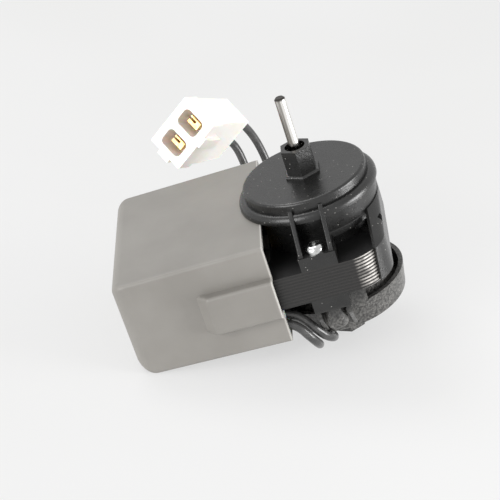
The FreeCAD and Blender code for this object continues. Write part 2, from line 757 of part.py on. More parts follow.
def coil_side_flat(name, cup, height):
    """Cuts a bell's seat flat on the coil side, where the cover's mouth begins, and closes it."""
    behind = block(name + "_behind", "dims.rim_radius", "2 * dims.rim_radius + 2",
                   f"dims.bell_depth - {RING_DROP} + {OVERRUN}", "-dims.rim_radius - dims.seat_flat",
                   "-dims.rim_radius - 1", f"{STACK_TOP} - {OVERRUN}")
    half = f"sqrt({SEAT_RADIUS}^2 - dims.seat_flat^2)"
    wall = block(name + "_flat_wall", "dims.bell_wall", f"2 * {half}", height, "-dims.seat_flat", f"-{half}",
                 STACK_TOP)
    return cut(name + "_cup_flat", cup, behind), wall


def soft_disc(name, cup, radius, word):
    """Rounds the edge of a bell's flat face."""
    around = 2 * pi * radius
    return round_edges(name, cup, [
        (lambda edge: near(edge.CenterOfMass.z, 0) and near(edge.Length, around, 0.5), word),
    ])


def make_front_bell():
    wall = "dims.bell_wall"
    profile = outline("front_profile", "XZ", [
        ("0", "-dims.disc_wall"),
        (f"{DISC_RADIUS} - {wall}", "-dims.disc_wall"),
        (f"{DISC_RADIUS} - {wall}", f"-{SHOULDER_LOW}"),
        (f"{SEAT_RADIUS} - {wall}", f"-{SHOULDER_LOW} - {wall}"),
        (f"{SEAT_RADIUS} - {wall}", STACK_TOP),
        (SEAT_RADIUS, STACK_TOP),
        (SEAT_RADIUS, f"-{RING_DROP}"),
        ("dims.rim_radius", f"-{RING_DROP}"),
        ("dims.rim_radius", "-dims.disc_side"),
        (DISC_RADIUS, "-dims.disc_side"),
        (DISC_RADIUS, "0"),
        ("0", "0"),
    ])
    cup = revolve("front_cup", profile)
    rim = size("rim_radius")
    bulged = round_edges("front_cup_bulged", cup, [
        (lambda edge: near(edge.CenterOfMass.z, -size("disc_side")) and near(edge.Length, 2 * pi * rim, 0.5),
         "shoulder_radius"),
    ])
    soft = soft_disc("front_cup_rounded", bulged, rim - size("disc_step"), "disc_edge")
    opened, flat = coil_side_flat("front", soft, f"dims.bell_depth - {RING_DROP}")
    skirt_roof = f"-{RING_DROP} + {LAP}"
    lip_top = "-dims.skirt_drop + dims.lip_height"
    skirt_profile = outline("skirt_profile", "XZ", [
        (f"{SKIRT_FOOT} - {wall}", "-dims.skirt_drop"),
        (f"{SKIRT_FOOT} + dims.lip_step", "-dims.skirt_drop"),
        (f"{SKIRT_FOOT} + dims.lip_step", lip_top),
        (SKIRT_FOOT, f"{lip_top} + dims.lip_step"),
        (SKIRT_TOP, skirt_roof),
        (f"{SKIRT_TOP} - {wall}", skirt_roof),
    ])
    reach = "(dims.rim_radius * 2)"
    skirt = common("front_skirt", revolve("skirt_full", skirt_profile),
                   sector("skirt_sector", "dims.skirt_angle", reach, "-dims.bell_depth", "0"))
    base_profile = outline("base_profile", "XZ", [
        (f"{SEAT_RADIUS} - {wall} / 2", STACK_TOP),
        (BASE_RADIUS, STACK_TOP),
        (BASE_RADIUS, f"{STACK_TOP} + dims.base_wall"),
        (f"{SEAT_RADIUS} - {wall} / 2", f"{STACK_TOP} + dims.base_wall"),
    ])
    base_ring = common("front_base", revolve("base_full", base_profile),
                       sector("base_sector", "dims.skirt_angle", "dims.stack_nose - dims.base_inset",
                              "-dims.bell_depth", "0"))
    gusset = [
        (f"dims.ear_inner + {LAP}", f"{STACK_TOP} + dims.ear_height / 2"),
        (f"{HALF_STACK} - dims.gusset_inset", f"{STACK_TOP} + dims.ear_height / 2"),
        (f"{HALF_STACK} - dims.gusset_inset", f"{STACK_TOP} + dims.ear_height + dims.gusset_foot"),
        (DISC_RADIUS, "-dims.gusset_top"),
        (f"dims.ear_inner + {LAP}", "-dims.gusset_top"),
    ]
    ears = make_ear("front_ear_near", -1, gusset, 2) + make_ear("front_ear_far", 1, gusset, 2)
    ears_cut = cut("front_ears", fuse("front_ears_whole", *ears),
                   bearing_room("front_room", f"(-{SHOULDER_LOW} - {wall})"))
    body = fuse("front_bell_body", opened, flat, skirt, base_ring, ears_cut, make_tongue(),
                make_hub("front_hub"), make_boss("front_boss", "hex_height"))
    shaft_way = cylinder("front_shaft_way", "dims.shaft_hole", f"dims.hex_height + dims.disc_wall + 2 * {OVERRUN}",
                         z=f"-dims.disc_wall - {OVERRUN}")
    recess = cylinder("front_recess", "dims.hex_bore", f"dims.hex_bore_depth + {OVERRUN}",
                      z="dims.hex_height - dims.hex_bore_depth")
    holes = [shaft_way, recess]
    for sign, word in ((1, "far"), (-1, "near")):
        holes.append(cylinder(f"front_screw_way_{word}", "dims.screw_radius + dims.screw_clearance",
                              f"dims.ear_height + 2 * {OVERRUN}", "-dims.ear_offset", f"{sign} * {SCREW_LINE}",
                              f"{STACK_TOP} - {OVERRUN}"))
        holes.append(cylinder(f"front_head_way_{word}", "dims.screw_head_radius + dims.screw_clearance",
                              "dims.bell_depth", "-dims.ear_offset", f"{sign} * {SCREW_LINE}",
                              f"{STACK_TOP} + dims.ear_height"))
    # Seen from the side, the tongue has a narrow window between the skirt and the stack.
    holes.append(block("tongue_window", "dims.rim_radius", "dims.tongue_window_width",
                       "dims.bell_depth - dims.skirt_drop", f"{SEAT_RADIUS} - {wall}",
                       "-dims.tongue_window_inset - dims.tongue_window_width", STACK_TOP))
    return cut("front_bell_solid", body, *holes)


def band(angle, centre, radius, wall, level, reach):
    """A closed wire of a thin band round the stack's nose at one level: outer arcs of one radius
    about two centres at plus and minus reach, joined by a straight run, and the same line inside."""
    far = FreeCAD.Vector(centre, reach, level)
    close = FreeCAD.Vector(centre, -reach, level)

    def spot(middle, size_now, turn):
        return middle.add(FreeCAD.Vector(size_now * cos(radians(turn)), size_now * sin(radians(turn)), 0))

    def half(size_now, forward):
        points = [
            (spot(close, size_now, -angle), spot(close, size_now, -angle / 2), spot(close, size_now, 0)),
            (spot(far, size_now, 0), spot(far, size_now, angle / 2), spot(far, size_now, angle)),
        ]
        if forward:
            return [Part.Arc(*points[0]).toShape(),
                    Part.makeLine(points[0][2], points[1][0]),
                    Part.Arc(*points[1]).toShape()]
        return [Part.Arc(points[1][2], points[1][1], points[1][0]).toShape(),
                Part.makeLine(points[1][0], points[0][2]),
                Part.Arc(points[0][2], points[0][1], points[0][0]).toShape()]

    outer = half(radius, True)
    inner = half(radius - wall, False)
    edges = outer
    edges.append(Part.makeLine(spot(far, radius, angle), spot(far, radius - wall, angle)))
    edges += inner
    edges.append(Part.makeLine(spot(close, radius - wall, -angle), spot(close, radius, -angle)))
    return Part.Wire(edges)


def make_tongue():
    """The front bell's tongue: a thin skin that leaves the skirt, widens and hugs the stack's nose."""
    corner = size("nose_radius")
    wall = size("tongue_wall")
    skin = corner + size("tongue_clearance") + wall
    top = -size("bell_depth")
    centre = size("stack_nose") - corner
    reach = size("stack_width") / 2 - corner
    waist = band(size("tongue_waist_angle"), centre, skin, wall, top + LAP, reach)
    foot = band(size("tongue_foot_angle"), centre, skin, wall, top - size("tongue_length"), reach)
    lower = Part.makeLoft([foot, waist], True, True)
    # At the skirt the band closes to two arcs about the shaft, joined by a short straight run.
    rim = size("rim_radius") - size("skirt_step") - size("skirt_taper") + size("lip_step")
    level = -size("skirt_drop") + size("tongue_overlap")
    head = band(size("tongue_top_angle"), 0, rim, wall, level, wall / 2)
    upper = Part.makeLoft([waist, head], True, True)
    tongue = doc.addObject("Part::Feature", "front_tongue")
    tongue.Shape = lower.fuse(upper).removeSplitter()
    tongue.Placement = FreeCAD.Placement()
    return tongue


def make_rear_bell():
    """Built face down like the front bell, then mirrored in the middle of the stack."""
    wall = "dims.bell_wall"
    profile = outline("rear_profile", "XZ", [
        ("0", "-dims.disc_wall"),
        (f"{SEAT_RADIUS} - {wall}", "-dims.disc_wall"),
        (f"{SEAT_RADIUS} - {wall}", STACK_TOP),
        (SEAT_RADIUS, STACK_TOP),
        (SEAT_RADIUS, "-dims.disc_wall"),
        (f"dims.rim_radius - {wall}", "-dims.disc_wall"),
        (f"dims.rim_radius - {wall}", "-dims.collar_rise"),
        ("dims.rim_radius", "-dims.collar_rise"),
        (REAR_DISC, "0"),
        ("0", "0"),
    ])
    cup = revolve("rear_cup", profile)
    soft = soft_disc("rear_cup_rounded", cup, size("rim_radius") - size("rear_step"), "rear_edge")
    opened, flat = coil_side_flat("rear", soft, "dims.bell_depth - dims.disc_wall")
    gate_low = f"{STACK_TOP} + dims.gate_gap"
    gate_high = "-dims.collar_rise + dims.gate_lap"
    gate_profile = outline("gate_profile", "XZ", [
        (f"dims.rim_radius - {wall}", gate_low),
        ("dims.rim_radius", gate_low),
        ("dims.rim_radius", gate_high),
        (f"dims.rim_radius - {wall}", gate_high),
    ])
    reach = "(dims.rim_radius * 2)"
    gates = cut("rear_gates", common("rear_gate_front", revolve("gate_full", gate_profile),
                                     sector("gate_outer", "dims.gate_outer_angle", reach, "-dims.bell_depth", "0")),
                sector("gate_inner", "dims.gate_angle", f"({reach} * 1.2)", "-dims.bell_depth - 1", "1"))
    gusset = [
        (f"dims.ear_inner + {LAP}", STACK_TOP),
        (HALF_STACK, STACK_TOP),
        (HALF_STACK, f"{STACK_TOP} + dims.ear_height + dims.rear_gusset_foot"),
        ("dims.rim_radius - dims.rear_gusset_inset", "-dims.gusset_top"),
        (f"dims.ear_inner + {LAP}", "-dims.gusset_top"),
    ]
    ears = make_ear("rear_ear_near", -1, gusset, 2) + make_ear("rear_ear_far", 1, gusset, 2)
    for sign, word in ((1, "far"), (-1, "near")):
        post = cylinder(f"rear_post_{word}", "dims.screw_post_radius", "dims.screw_post_length",
                        "-dims.ear_offset", f"{sign} * {SCREW_LINE}", f"{STACK_TOP} + dims.ear_height")
        tip = -size("bell_depth") + size("ear_height") + size("screw_post_length")
        ears.append(round_edges(f"rear_post_rounded_{word}", post, [
            (lambda edge: near(edge.CenterOfMass.z, tip), "screw_post_edge"),
        ]))
    ears_cut = cut("rear_ears", fuse("rear_ears_whole", *ears), bearing_room("rear_room", "(-dims.disc_wall)"))
    body = fuse("rear_bell_body", opened, flat, gates, ears_cut, make_hub("rear_hub"),
                make_boss("rear_boss", "rear_hex_height"))
    holes = [cylinder("rear_shaft_way", "dims.shaft_hole", "dims.disc_wall + dims.shaft_tail + 2",
                      z="-dims.disc_wall - 1")]
    for sign, word in ((1, "far"), (-1, "near")):
        holes.append(cylinder(f"rear_screw_way_{word}", "dims.screw_radius",
                              f"dims.ear_height + dims.screw_post_length - dims.screw_tip_margin + {OVERRUN}",
                              "-dims.ear_offset", f"{sign} * {SCREW_LINE}", f"{STACK_TOP} - {OVERRUN}"))
    return cut("rear_bell_upright", body, *holes)


def make_screws():
    """Two pan head screws through the front ears and the stack into the rear ears' posts."""
    head_level = f"{STACK_TOP} + dims.ear_height"
    length = ("dims.ear_height + dims.stack_thickness + dims.ear_height"
              " + dims.screw_post_length - dims.screw_tip_margin - 0.2")
    pair = []
    for sign, word in ((1, "far"), (-1, "near")):
        x = "-dims.ear_offset"
        y = f"{sign} * {SCREW_LINE}"
        shank = cylinder(f"screw_shank_{word}", "dims.screw_radius", length, x, y, f"{head_level} - ({length})")
        head = cylinder(f"screw_head_{word}", "dims.screw_head_radius", "dims.screw_head_height", x, y, head_level)
        top = -size("bell_depth") + size("ear_height") + size("screw_head_height")
        dome = round_edges(f"screw_dome_{word}", head, [
            (lambda edge: near(edge.CenterOfMass.z, top), "screw_head_dome"),
        ])
        arms = []
        for long_x, long_y, arm in (("dims.screw_cross_length", "dims.screw_cross_width", "a"),
                                    ("dims.screw_cross_width", "dims.screw_cross_length", "b")):
            arms.append(block(f"screw_cross_{word}_{arm}", long_x, long_y, f"dims.screw_cross_depth + {OVERRUN}",
                              f"{x} - {long_x} / 2", f"{y} - {long_y} / 2",
                              f"{head_level} + dims.screw_head_height - dims.screw_cross_depth"))
        pair.append(cut(f"screw_{word}", fuse(f"screw_whole_{word}", dome, shank), *arms))
    return group("screw_pair", *pair)


# Rotor and bearings, made for the front end and mirrored for the rear end.
def make_shaft():
    tail = f"({REAR_FACE} - dims.shaft_tail)"
    tip = "(dims.shaft_reach)"
    # A narrow groove inside the boss's recess keeps oil from creeping out along the shaft.
    slinger = "(dims.hex_height - dims.slinger_drop)"
    profile = outline("shaft_profile", "XZ", [
        ("0", tail),
        ("dims.shaft_radius - dims.shaft_chamfer", tail),
        ("dims.shaft_radius", f"{tail} + dims.shaft_chamfer"),
        ("dims.shaft_radius", f"{slinger} - dims.slinger_width"),
        ("dims.shaft_radius - dims.slinger_depth", f"{slinger} - dims.slinger_width"),
        ("dims.shaft_radius - dims.slinger_depth", slinger),
        ("dims.shaft_radius", slinger),
        ("dims.shaft_radius", f"{tip} - dims.shaft_chamfer"),
        ("dims.shaft_radius - dims.shaft_chamfer", tip),
        ("0", tip),
    ])
    return revolve("shaft_solid", profile)


def tube(name, inner, outer, low, high):
    """A plain ring or sleeve on the shaft axis."""
    return revolve(name, outline(name + "_profile", "XZ", [(inner, low), (outer, low), (outer, high), (inner, high)]))


BEARING_FOOT = "(-dims.disc_wall - dims.bearing_length)"


def make_front_running_gear():
    bearing_profile = outline("bearing_profile", "XZ", [
        ("dims.shaft_radius + dims.bearing_clearance", BEARING_FOOT),
        ("dims.bearing_end_radius", BEARING_FOOT),
        ("dims.bearing_radius", f"{BEARING_FOOT} + dims.bearing_length * 0.3"),
        ("dims.bearing_radius", "-dims.disc_wall - dims.bearing_length * 0.3"),
        ("dims.bearing_end_radius", "-dims.disc_wall"),
        ("dims.shaft_radius + dims.bearing_clearance", "-dims.disc_wall"),
    ])
    bearing = revolve("bearing_solid", bearing_profile)
    middle = "(-dims.disc_wall - dims.bearing_length / 2)"
    felt = tube("felt_solid", "dims.felt_radius", "dims.hub_bore", f"{middle} - dims.felt_height / 2",
                f"{middle} + dims.felt_height / 2")
    retainer = tube("retainer_solid", "dims.retainer_bore", "dims.hub_bore",
                    f"{BEARING_FOOT} - dims.retainer_wall", BEARING_FOOT)
    washer_top = f"({BEARING_FOOT} - dims.end_play)"
    washer = tube("washer_solid", "dims.shaft_radius", "dims.washer_radius",
                  f"{washer_top} - dims.washer_wall", washer_top)
    spacer = tube("spacer_solid", "dims.shaft_radius", "dims.spacer_radius",
                  f"{STACK_MIDDLE} + dims.rotor_length / 2", f"{washer_top} - dims.washer_wall")
    return {"bearing": bearing, "oil_felt": felt, "bearing_retainer": retainer,
            "thrust_washer": washer, "spacer_sleeve": spacer}


def make_rotor():
    low = f"({STACK_MIDDLE} - dims.rotor_length / 2)"
    core = cylinder("rotor_blank", "dims.rotor_radius", "dims.rotor_length", z=low)
    shaft_way = cylinder("rotor_shaft_way", "dims.shaft_radius", "dims.rotor_length + 2", z=f"{low} - 1")
    slots = []
    bars = []
    count = int(size("cage_bars"))
    for step in range(count):
        angle = f"({step} * 360 / dims.cage_bars * 1 deg)"
        x = f"{BAR_CIRCLE} * cos({angle})"
        y = f"{BAR_CIRCLE} * sin({angle})"
        slots.append(cylinder(f"rotor_slot_{step}", "dims.cage_bar_radius", "dims.rotor_length + 2", x, y, f"{low} - 1"))
        bars.append(cylinder(f"cage_bar_{step}", "dims.cage_bar_radius", "dims.rotor_length + 1", x, y, f"{low} - 0.5"))
    rings = [
        tube("cage_ring_front", "dims.cage_ring_bore", CAGE_RADIUS, f"{low} + dims.rotor_length",
             f"{low} + dims.rotor_length + dims.cage_ring_length"),
        tube("cage_ring_rear", "dims.cage_ring_bore", CAGE_RADIUS, f"{low} - dims.cage_ring_length", low),
    ]
    return cut("rotor_core_solid", core, shaft_way, *slots), fuse("cage_solid", *rings, *bars)


# Leads: two insulated wires from the coil, out under the stack, round behind and to the plug.
def lead_path(route):
    """Straight runs joined by tangent arcs. Each radius is 0.45 of the shorter run beside a
    corner, divided by the tangent of half the turn."""
    points = [FreeCAD.Vector(*spot) for spot in route]
    edges = []
    radii = []
    start = points[0]
    for before, corner, after in zip(points, points[1:], points[2:]):
        back = before.sub(corner)
        ahead = after.sub(corner)
        setback = 0.45 * min(back.Length, ahead.Length)
        turn = pi - back.getAngle(ahead)
        radius = setback / tan(turn / 2)
        back.normalize()
        ahead.normalize()
        first = corner.add(back * setback)
        last = corner.add(ahead * setback)
        bisector = back.add(ahead)
        bisector.normalize()
        centre = corner.add(bisector * sqrt(radius * radius + setback * setback))
        middle = centre.sub(bisector * radius)
        edges.append(Part.LineSegment(start, first).toShape())
        edges.append(Part.Arc(first, middle, last).toShape())
        radii.append(round(radius, 1))
        start = last
    edges.append(Part.LineSegment(start, points[-1]).toShape())
    return Part.Wire(edges), radii


def make_lead(name, route):
    """One round lead along its route."""
    path, radii = lead_path(route)
    radius = size("lead_radius")
    start = path.Edges[0].Vertexes[0].Point
    way = path.Edges[0].tangentAt(path.Edges[0].FirstParameter)
    section = Part.Wire(Part.Circle(start, way, radius).toShape())
    solid = path.makePipeShell([section], True, True)
    expected = pi * radius * radius * path.Length
    print(name, "length", round(path.Length, 1), "radii", radii, "volume share", round(solid.Volume / expected, 4))
    thing = doc.addObject("Part::Feature", name + "_tube")
    thing.Shape = solid
    thing.Placement = FreeCAD.Placement()
    return thing


LEAD_ROUTES = {
    "lead_1": [
        (-31.0, -21.9, -30.4),
        (-23.4, -21.9, -30.4),
        (-12.2, -21.7, -31.2),
        (-6.5, -22.5, -40.9),
        (-3.7, -17.7, -45.9),
        (-5.8, -6.5, -50.4),
        (-9.2, 6.5, -49.9),
        (-10.8, 22.0, -49.5),
        (-12.6, 38.0, -48.7),
        (-15.0, 53.0, -46.2),
        (-16.4, 63.6, -37.8),
        (-16.6, 68.4, -27.0),
        (-18.2, 68.0, -16.4),
        (-21.28, 64.04, -7.62),
        (-23.62, 58.76, -4.64),
    ],
    "lead_2": [
        (-31.0, -24.5, -31.8),
        (-23.0, -24.5, -31.8),
        (-13.3, -24.8, -32.5),
        (-8.6, -25.1, -41.1),
        (-8.4, -17.2, -47.4),
        (-14.5, -7.0, -46.0),
        (-14.8, 4.0, -48.1),
        (-16.2, 19.5, -47.7),
        (-18.8, 35.5, -46.6),
        (-21.0, 50.0, -43.6),
        (-22.6, 61.0, -37.0),
        (-23.6, 67.4, -28.0),
        (-24.6, 68.6, -19.0),
        (-27.2, 65.78, -13.52),
        (-30.26, 58.88, -9.62),
    ],
}

# Plug: where its mating face lies and how it is turned, as found for the free leads.
PLUG_SPOT = FreeCAD.Vector(-35.46, 39.6, 3.75)
PLUG_ROW = FreeCAD.Vector(0.8, -0.015, 0.6)
PLUG_DEPTH = FreeCAD.Vector(0.36, 0.812, -0.459)


def plug_placement():
    depth = FreeCAD.Vector(PLUG_DEPTH)
    depth.normalize()
    side = depth.cross(PLUG_ROW)
    side.normalize()
    row = side.cross(depth)
    turn = FreeCAD.Rotation(row, side, depth, "ZXY")
    return FreeCAD.Placement(PLUG_SPOT, turn)


def make_contact(name, x):
    """A stamped contact, forked towards the mating face: a thick blade, a thin one and their root."""
    length = "(dims.pocket_depth + dims.contact_seat - dims.contact_recess)"
    middle = f"(dims.contact_recess + {length} / 2)"
    whole = centred_block(name + "_whole", "dims.contact_height", "dims.contact_width", length, x, "0", middle)
    gap = "(dims.contact_height - dims.contact_blade - dims.contact_wall)"
    slot = block(name + "_slot", gap, f"dims.contact_fork + {OVERRUN}", f"{length} - dims.contact_wall + {OVERRUN}",
                 f"{x} - dims.contact_height / 2 + dims.contact_blade",
                 f"-dims.contact_width / 2 - {OVERRUN}", f"dims.contact_recess - {OVERRUN}")
    return cut(name, whole, slot)


def make_plug():
    """Housing and two contacts, modelled with the mating face on z = 0 and the leads at +z."""
    collar = centred_block("plug_collar", "dims.plug_width", "dims.plug_height", "dims.plug_collar_length", "0", "0",
                           "dims.plug_collar_length / 2")
    soft = round_edges("plug_collar_rounded", collar, [(lambda edge: runs_along(edge, "z"), "plug_edge")])
    ends = []
    for word, wide, high, level in (
        ("front", "(dims.plug_width - dims.plug_body_step)", "(dims.plug_height - 2 * dims.plug_body_step)",
         f"dims.plug_collar_length - {LAP}"),
        ("rear", "dims.plug_rear_width", "dims.plug_rear_height", "dims.plug_length"),
    ):
        ends.append(outline(f"plug_body_{word}", "XY", [
            (f"-{wide} / 2", f"-{high} / 2"),
            (f"{wide} / 2", f"-{high} / 2"),
            (f"{wide} / 2", f"{high} / 2"),
            (f"-{wide} / 2", f"{high} / 2"),
        ], level))
    barrel = doc.addObject("Part::Loft", "plug_barrel")
    barrel.Sections = ends
    barrel.Solid = True
    barrel.Ruled = True
    half = "(dims.plug_height / 2)"
    latch_side = outline("plug_latch_side", "YZ", [
        (f"{half} - {LAP}", "0"),
        (f"{half} + dims.latch_rise / 2", "0"),
        (f"{half} + dims.latch_rise", "dims.latch_ramp"),
        (f"{half} + dims.latch_rise", "dims.latch_length"),
        (f"{half} - dims.plug_body_step - {LAP}", "dims.latch_length"),
    ], "dims.latch_offset - dims.latch_width / 2")
    latch = extrude("plug_latch", latch_side, (1, 0, 0), "dims.latch_width")
    rib = block("plug_rib", f"dims.rib_rise + {LAP}", "dims.rib_height", "dims.rib_length",
                "-dims.plug_width / 2 - dims.rib_rise", "-dims.rib_height / 2", "0")
    pockets = []
    ways = []
    contacts = []
    for sign, word in ((1, "a"), (-1, "b")):
        x = f"({sign} * dims.contact_pitch / 2)"
        pocket = centred_block(f"plug_pocket_{word}", "dims.pocket_width", "dims.pocket_height",
                               f"dims.pocket_depth + {OVERRUN}", x, "0", f"(dims.pocket_depth - {OVERRUN}) / 2")
        pockets.append(round_edges(f"plug_pocket_rounded_{word}", pocket, [
            (lambda edge: runs_along(edge, "z"), "pocket_radius"),
        ]))
        ways.append(centred_block(f"contact_seat_{word}", "dims.contact_height", "dims.contact_width",
                                  f"dims.contact_seat + {OVERRUN}", x, "0",
                                  f"dims.pocket_depth + (dims.contact_seat - {OVERRUN}) / 2"))
        ways.append(cylinder(f"plug_way_{word}", "dims.lead_radius + dims.lead_slack", f"dims.lead_seat + {OVERRUN}",
                             x, "0", "dims.plug_length - dims.lead_seat"))
        contacts.append(make_contact(f"contact_{word}", x))
    housing = cut("plug_solid", fuse("plug_body", soft, barrel, latch, rib), *pockets, *ways)
    contact_pair = group("contact_pair", *contacts)
    for thing in (housing, contact_pair):
        thing.Placement = plug_placement()
    return housing, contact_pair


bar_solid = make_bar()
keep(make_stack(bar_solid), "stator_stack")
keep(bar_solid, "coil_core_bar")
keep(make_shading_rings(), "shading_rings")
keep(make_bobbin(), "coil_bobbin")
winding_solid, wrap_solid = make_coil()
keep(winding_solid, "coil_winding")
keep(make_terminals(), "winding_terminals")
keep(wrap_solid, "coil_tape")
keep(make_cover(), "coil_cover")
keep(make_front_bell(), "front_bell")
middle_of_stack = FreeCAD.Vector(0, 0, -size("bell_depth") - size("stack_thickness") / 2)
keep(mirror("rear_bell_solid", make_rear_bell(), (0, 0, 1), middle_of_stack), "rear_bell")
keep(make_screws(), "bell_screws")
keep(make_shaft(), "rotor_shaft")
core_solid, cage_solid = make_rotor()
keep(core_solid, "rotor_core")
keep(cage_solid, "rotor_cage")
for part_name, solid in make_front_running_gear().items():
    keep(solid, "front_" + part_name)
    keep(mirror("rear_" + part_name + "_solid", solid, (0, 0, 1), middle_of_stack), "rear_" + part_name)
for lead_name, lead_route in LEAD_ROUTES.items():
    keep(make_lead(lead_name, lead_route), lead_name)
plug_housing, plug_contacts = make_plug()
keep(plug_housing, "plug_housing")
keep(plug_contacts, "plug_contacts")

doc.recompute()
for thing in doc.Objects:
    if "Invalid" in thing.State or "Error" in thing.State:
        raise ValueError("failed: " + thing.Name)
for label, thing in nodes.items():
    if thing.Shape.isNull() or not thing.Shape.isValid():
        raise ValueError("bad shape: " + label)
os.makedirs("parts", exist_ok=True)
for label, thing in nodes.items():
    thing.Shape.exportStep(os.path.join("parts", label + ".step"))
    box = thing.Shape.BoundBox
    print(label, len(thing.Shape.Solids), "solids", round(thing.Shape.Volume, 1),
          [round(v, 1) for v in (box.XMin, box.XMax, box.YMin, box.YMax, box.ZMin, box.ZMax)])
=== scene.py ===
import bpy
from mathutils import Matrix, Vector


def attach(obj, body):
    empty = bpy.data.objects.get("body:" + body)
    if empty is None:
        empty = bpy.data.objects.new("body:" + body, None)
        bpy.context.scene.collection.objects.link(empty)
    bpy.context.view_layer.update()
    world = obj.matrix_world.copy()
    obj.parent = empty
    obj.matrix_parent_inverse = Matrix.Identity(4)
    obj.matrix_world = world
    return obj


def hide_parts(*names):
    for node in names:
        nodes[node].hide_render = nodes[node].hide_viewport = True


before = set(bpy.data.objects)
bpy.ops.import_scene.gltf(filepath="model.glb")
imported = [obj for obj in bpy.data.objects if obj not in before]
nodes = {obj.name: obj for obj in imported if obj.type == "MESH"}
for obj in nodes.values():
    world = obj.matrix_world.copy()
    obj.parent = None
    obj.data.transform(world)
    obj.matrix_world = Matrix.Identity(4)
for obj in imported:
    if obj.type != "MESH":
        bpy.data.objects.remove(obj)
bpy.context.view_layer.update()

MM = 0.001

# Camera.
# The photograph was taken from a little above the motor with a long lens, so that the shaft leans
# only slightly. The motor rests on its cover's rear edge and on its rear boss, so the table is
# tilted in the motor's own frame.
CAMERA_AT = Vector((0.04956, -0.5105, 0.2566))
CAMERA_RIGHT = Vector((0.9584, -0.0204, -0.2846))
CAMERA_UP = Vector((0.258, 0.488, 0.8338))
LENS_MM = 144.0
SENSOR_MM = 36.0

back = CAMERA_RIGHT.cross(CAMERA_UP).normalized()
up = back.cross(CAMERA_RIGHT).normalized()
right = up.cross(back)
camera_data = bpy.data.cameras.new("camera")
camera_data.lens = LENS_MM
camera_data.sensor_width = SENSOR_MM
camera_data.clip_end = 20.0
camera = bpy.data.objects.new("camera", camera_data)
turn = Matrix((right, up, back)).transposed().to_4x4()
camera.matrix_world = Matrix.Translation(CAMERA_AT) @ turn
bpy.context.scene.collection.objects.link(camera)
bpy.context.scene.camera = camera
bpy.context.scene.view_settings.view_transform = "Standard"


# Leads.
# Two stranded copper wires in black flexible vinyl, each about 16 cm long. They leave the coil
# cover under the stack, pass below the rear bell, lie on the table and rise to the plug.
def linear(hexcode):
    """Turns an sRGB hex colour into linear light, with alpha 1."""
    parts = [int(hexcode[i:i + 2], 16) / 255 for i in (1, 3, 5)]
    return [p / 12.92 if p <= 0.04045 else ((p + 0.055) / 1.055) ** 2.4 for p in parts] + [1.0]


def add(tree, kind, links=None, **settings):
    """Adds a node, sets its properties or input values, and links its inputs to given outputs."""
    node = tree.nodes.new(kind)
    for key, value in settings.items():
        if hasattr(node, key):
            setattr(node, key, value)
        else:
            node.inputs[key.replace("_", " ")].default_value = value
    for name, output in (links or {}).items():
        tree.links.new(output, node.inputs[name])
    return node


def start_material(name):
    """A material with an empty tree, its principled shader and its Object coordinates."""
    material = bpy.data.materials.new(name)
    material.use_nodes = True
    tree = material.node_tree
    tree.nodes.clear()
    output = tree.nodes.new("ShaderNodeOutputMaterial")
    shader = tree.nodes.new("ShaderNodeBsdfPrincipled")
    tree.links.new(shader.outputs[0], output.inputs[0])
    place = tree.nodes.new("ShaderNodeTexCoord").outputs["Object"]
    return material, tree, shader, place


def set_shader(shader, **values):
    """Sets constant values on the shader's own sockets."""
    for key, value in values.items():
        shader.inputs[key.replace("_", " ")].default_value = value


def bump(tree, shader, height, distance, strength=1.0):
    """Feeds a height pattern to the shader as relief of a real depth in metres."""
    node = add(tree, "ShaderNodeBump", {"Height": height}, Distance=distance, Strength=strength)
    tree.links.new(node.outputs[0], shader.inputs["Normal"])
    return node


def ramp(tree, factor, stops):
    """A colour ramp over a factor: stops are pairs of position and linear colour."""
    node = tree.nodes.new("ShaderNodeValToRGB")
    tree.links.new(factor, node.inputs[0])
    while len(node.color_ramp.elements) < len(stops):
        node.color_ramp.elements.new(0.5)
    for element, (position, colour) in zip(node.color_ramp.elements, stops):
        element.position = position
        element.color = colour
    return node.outputs[0]


def noise(tree, place, grain_mm, detail=3.0, roughness=0.5, stretch=(1, 1, 1)):
    """Soft noise whose grain is a real size in millimetres, and may be stretched along an axis."""
    mapping = add(tree, "ShaderNodeMapping", {"Vector": place}, Scale=stretch)
    node = add(tree, "ShaderNodeTexNoise", {"Vector": mapping.outputs[0]}, Scale=1000.0 / grain_mm,
               Detail=detail, Roughness=roughness)
    return node.outputs["Fac"]


def vinyl():
    """Extruded soft vinyl: glossy black, greyed by a little bloom, with faint drag lines."""
    material, tree, shader, place = start_material("extruded_black_vinyl")
    bloom = noise(tree, place, 6.0)
    tint = ramp(tree, bloom, [(0.35, linear("#3f3f3f")), (0.7, linear("#5e5d5c"))])
    tree.links.new(tint, shader.inputs["Base Color"])
    set_shader(shader, Roughness=0.24, IOR=1.53)
    bump(tree, shader, noise(tree, place, 0.6), 0.00003)
    return material


